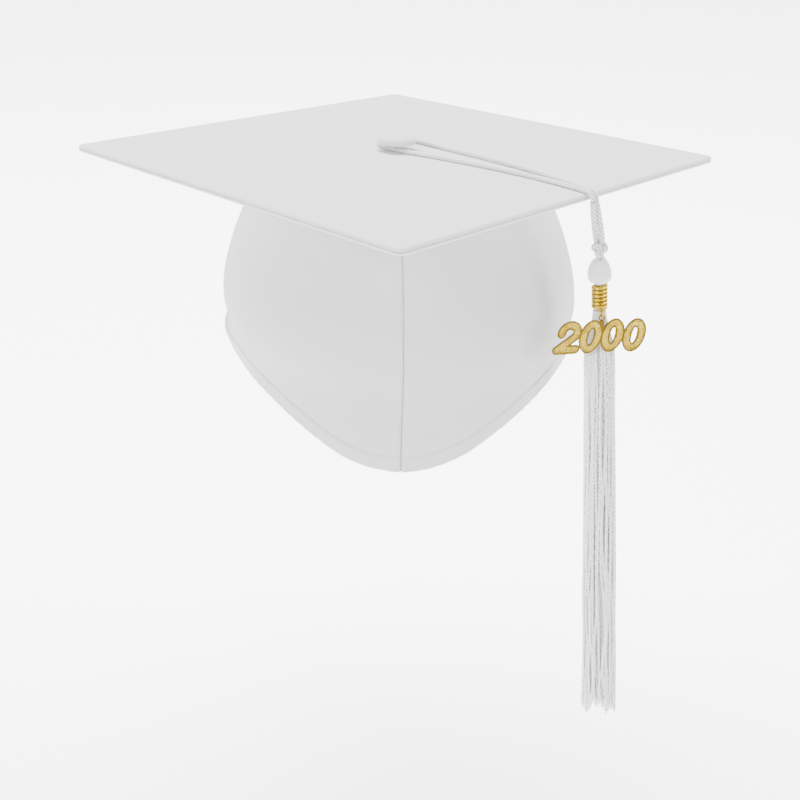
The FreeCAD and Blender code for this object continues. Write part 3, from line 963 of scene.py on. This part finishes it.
def skirt_thread(azimuth, share, bottom, seed, step):
    """One thread of the skirt, from under the binding to its own end: its reach is wide, in
    millimetres. It swings out below the binding and is looser in its lower half."""
    top = skirt_top - 0.2 * MM
    length = top - bottom
    count = round(length / step)
    sway = random.uniform(-1, 1)
    points = []
    for index in range(count + 1):
        down = length * index / count
        spread = ease(down / (24 * MM))
        flare = 0.0096 * max(down / MM - 20, 0)
        wide = (skirt_waist + skirt_swell * spread + flare) * share
        loose = spread * (1 + 1.1 * ease((down / MM - 90) / 120))
        wander = ripple((down * 19, seed, 0.0), 1.0, seed) * loose
        turn = azimuth + 0.24 * wander + 0.16 * sway * ease(down / (200 * MM))
        crimp = 0.13 * wave(down / (5.2 * MM) + seed) * spread
        wide += 0.34 * ripple((down * 22, seed * 1.3, 4.0), 1.0, seed) * loose + crimp * 0.6
        side = 0.10 * MM * wave(down / (6.1 * MM) + seed * 1.7) * spread
        place = tassel_point(turn, wide * MM, top - down)
        points.append(place + Vector((math.cos(turn), math.sin(turn), 0)) * side)
    return points


def end_shape(share):
    """A thread's thickness near its end: a small tied bead, then loose fibres."""
    if share > 0.985:
        return max(1.25 * max(1 - (share - 0.985) / 0.015, 0.0) ** 0.5, 0.08)
    if share > 0.972:
        return 1.0 + 0.25 * math.sin(math.pi * (share - 0.972) / 0.026)
    return 1.0


def skirt_ring(name, count, share, radius, sides, step, plies):
    """Threads at one depth of the skirt, side by side all the way round it."""
    strands = []
    for index in range(count):
        azimuth = 2 * math.pi * (index + random.uniform(-0.2, 0.2)) / count
        seed = random.uniform(0, 50)
        drop = 3.0 * math.cos(azimuth * 2 + 0.6) + random.uniform(-4.5, 3.5)
        bottom = skirt_bottom + (4.0 + drop) * MM
        line = skirt_thread(azimuth, share, bottom, seed, step)
        strands.append(strand(line, radius, Vector((1, 0, 0)), sides=sides, plies=plies,
                              pitch=thread_pitch, phase=seed, scale=end_shape))
    piece = mesh_piece(name, strands, skirt_yarn, 80)
    piece.data.transform(hanging)
    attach(piece, "tassel")
    return piece


tassel_head()
bound_coil()
outer_threads = skirt_ring("outer_threads", 40, 1.0, 0.8 * MM, 8, 0.95 * MM, 2)
skirt_ring("inner_threads", 38, 0.87, 0.8 * MM, 6, 1.6 * MM, 2)
skirt_ring("core_threads", 16, 0.6, 1.3 * MM, 6, 4 * MM, 1)
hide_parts("tassel_skirt")

# ---- charm --------------------------------------------------------------------------------------

gold_shade = rough("shaded_gold", (0.07, 0.035, 0.004, 1), (0.16, 0.08, 0.01, 1), 900, 0.4,
                   0.00005, 1.0)
charm_tilt = math.radians(8)
ring_height = 41.6 * MM       # where the charm hangs on the jump ring


def year_charm():
    """The cast plate: raised polished outlines, sparkling sunken fields, dark side walls."""
    node = frame["nodes"]["year_charm"]
    charm = bpy.data.objects.new("numeral_charm", node.data.copy())
    bpy.context.collection.objects.link(charm)
    charm.data.transform(node.matrix_world)
    finished(charm, "numeral_charm", gold_rim, 30)
    charm.data.materials.append(gold_field)
    charm.data.materials.append(gold_shade)
    # the plate's own upright place: undo the hanging and the tilt
    upright = (Matrix.Rotation(charm_tilt, 4, "X")
               @ Matrix.Translation((0, ring_reach, -ring_height)) @ hanging.inverted())
    turn = upright.to_3x3()
    # the stem, above the numerals, stays polished all over
    for face in charm.data.polygons:
        place = upright @ face.center
        facing = turn @ face.normal
        if facing.y < -0.9 and place.y > -0.55 * MM and place.z < -1.6 * MM:
            face.material_index = 1
        elif abs(facing.y) < 0.5 and place.z < -1.9 * MM:
            face.material_index = 2
    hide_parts("year_charm")
    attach(charm, "charm")


year_charm()

# ---- studio -------------------------------------------------------------------------------------


def floor():
    """A pale ground under the tassel's tips that glows as painted light, brighter behind the cap than
    in front of it.
    """
    nothing_selected()
    bpy.ops.mesh.primitive_plane_add(size=16, location=(0, 0, -0.28))
    plane = bpy.context.object
    pale = Finish("glowing_pale_floor", Roughness=0.8, Specular_IOR_Level=0.1, Emission_Strength=5.0)
    grain = pale.noise(pale.place(), 3.0)
    pale.feed("Base Color", pale.mix(grain, grey(0.84), grey(0.86)))
    behind = pale.parts(pale.place())[1]
    # painted light: the floor glows, dim in front of the cap and at full strength behind it
    pale.feed("Emission Color", pale.mix((behind * 1.6 + 0.75).clamped(), grey(0.1), grey(1.0)))
    finished(plane, "floor", pale.material)


def lamp(name, place, size, energy):
    """A soft square lamp that faces the cap."""
    data = bpy.data.lights.new(name, "AREA")
    data.shape = "SQUARE"
    data.size = size
    data.energy = energy
    light = bpy.data.objects.new(name, data)
    light.location = place
    light.rotation_euler = (-Vector(place)).to_track_quat("-Z", "Y").to_euler()
    bpy.context.collection.objects.link(light)


def studio():
    floor()
    lamp("top_light", (-0.2, 0.5, 2.2), 1.6, 180)
    lamp("front_left_light", (-2.0, -1.6, 1.1), 1.2, 68)
    lamp("front_right_light", (2.0, -1.5, 0.9), 1.0, 42)
    world = bpy.data.worlds.new("studio")
    world.use_nodes = True
    world.node_tree.nodes["Background"].inputs["Color"].default_value = (1, 1, 1, 1)
    world.node_tree.nodes["Background"].inputs["Strength"].default_value = 0.9
    bpy.context.scene.world = world


def camera():
    data = bpy.data.cameras.new("camera")
    data.lens = 49.05
    data.sensor_width = 36.0
    data.shift_y = -0.1
    view = bpy.data.objects.new("camera", data)
    yaw = math.radians(1.10)
    pitch = math.radians(21.77)
    roll = math.radians(1.30)
    ahead = Vector((math.sin(yaw) * math.cos(pitch), math.cos(yaw) * math.cos(pitch),
                    -math.sin(pitch)))
    right = Vector((math.cos(yaw), -math.sin(yaw), 0))
    above = right.cross(ahead)
    leaning_right = right * math.cos(roll) + above * math.sin(roll)
    leaning_up = above * math.cos(roll) - right * math.sin(roll)
    axes = Matrix((leaning_right, leaning_up, -ahead)).transposed().to_4x4()
    view.matrix_world = Matrix.Translation((-0.0072, -0.5716, board_top + 0.1312)) @ axes
    bpy.context.collection.objects.link(view)
    bpy.context.scene.camera = view


studio()
camera()
